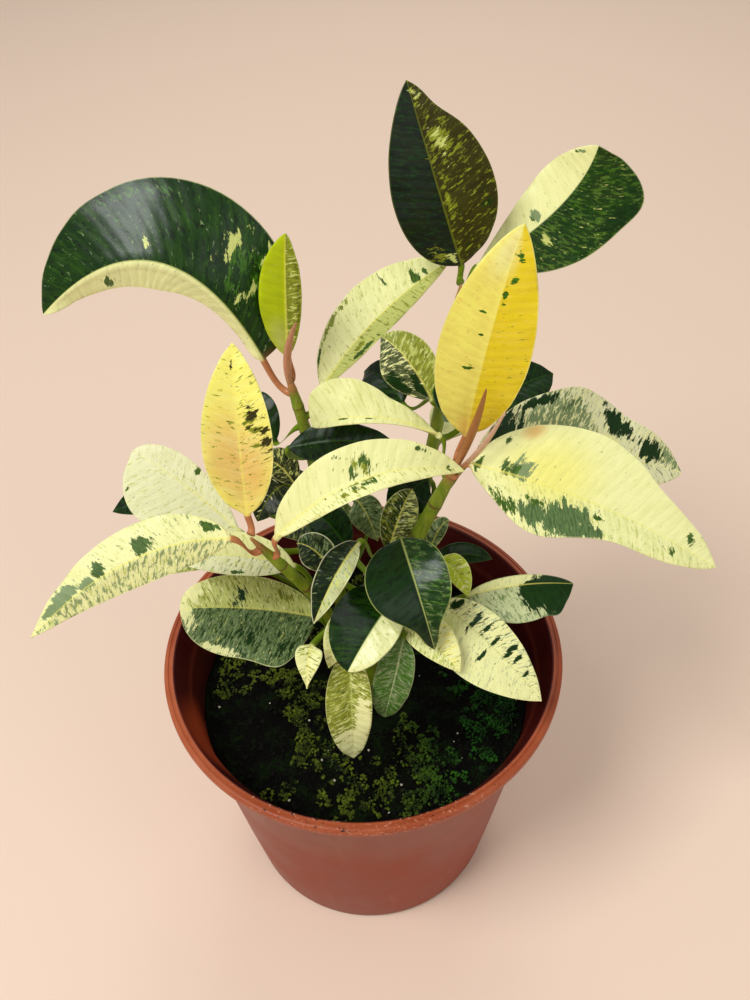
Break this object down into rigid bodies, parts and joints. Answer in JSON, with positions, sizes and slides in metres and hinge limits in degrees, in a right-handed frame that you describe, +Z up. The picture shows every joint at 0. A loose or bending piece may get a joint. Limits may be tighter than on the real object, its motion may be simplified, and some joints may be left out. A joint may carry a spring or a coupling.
{
  "type": "potted rubber plant",
  "caption": "Variegated rubber plant with cream, yellow and dark green leaves in a round tapering nursery pot of compost.",
  "frame": {"origin": "middle of the pot's flat underside", "axes": "+Z up along the pot's axis; -Y is the side that the picture shows nearest"},
  "size_m": [0.2407, 0.1815, 0.3543],
  "materials": {
    "pot": "satin terracotta-coloured plastic",
    "soil": "damp dark compost with moss",
    "stem": "smooth green bark",
    "leaf_cream": "satin, cream with green flecks",
    "leaf_yellow": "satin, yellow with dark flecks",
    "leaf_green": "glossy dark green",
    "leaf_grey_green": "satin, mottled grey-green and cream",
    "leaf_lime": "satin lime green",
    "new_leaf": "smooth pink sheath"
  },
  "bodies": {
    "root": {"pot": "pot", "soil": "soil", "stem_left": "stem", "stem_front": "stem", "stem_middle": "stem", "stem_right": "stem", "stem_back": "stem", "new_leaf_right": "new_leaf", "new_leaf_left": "new_leaf", "leaf_low_left": "leaf_cream", "leaf_yellow_small": "leaf_yellow", "leaf_cream_middle": "leaf_cream", "leaf_wide_low_left": "leaf_grey_green", "leaf_grey_left": "leaf_grey_green", "leaf_upper_middle": "leaf_cream", "leaf_arching_dark": "leaf_green", "leaf_young_lime": "leaf_lime", "leaf_cream_back_left": "leaf_cream", "leaf_olive_left": "leaf_grey_green", "leaf_dark_left": "leaf_green", "leaf_dark_behind": "leaf_green", "leaf_small_dark": "leaf_green", "leaf_curled_back": "leaf_green", "leaf_pale_middle": "leaf_cream", "leaf_yellow_tall": "leaf_yellow", "leaf_big_right": "leaf_cream", "leaf_mottled_right": "leaf_grey_green", "leaf_dark_right": "leaf_green", "leaf_little_grey": "leaf_grey_green", "leaf_dark_strip_right": "leaf_green", "leaf_little_lime": "leaf_lime", "leaf_low_right": "leaf_cream", "leaf_top_dark": "leaf_green", "leaf_top_right": "leaf_cream", "leaf_small_two_tone": "leaf_cream", "leaf_dark_back_middle": "leaf_green", "leaf_back_left": "leaf_green", "leaf_back_right": "leaf_cream", "leaf_dark_core": "leaf_green", "leaf_back_low": "leaf_green", "leaf_dark_drooping": "leaf_green", "leaf_dark_and_cream": "leaf_green", "leaf_wavy_cream": "leaf_cream", "leaf_cream_under": "leaf_cream", "leaf_small_pointed": "leaf_cream", "leaf_flecked_right": "leaf_cream", "leaf_cream_low": "leaf_cream", "leaf_puckered_front": "leaf_cream", "leaf_grey_front": "leaf_grey_green", "leaf_yellow_inner": "leaf_yellow", "leaf_dark_inner": "leaf_green", "leaf_curled_inner": "leaf_green", "leaf_inner_green": "leaf_green", "leaf_inner_grey": "leaf_grey_green", "leaf_inner_brown": "leaf_green", "leaf_upper_dark": "leaf_green"}
  },
  "joints": []
}
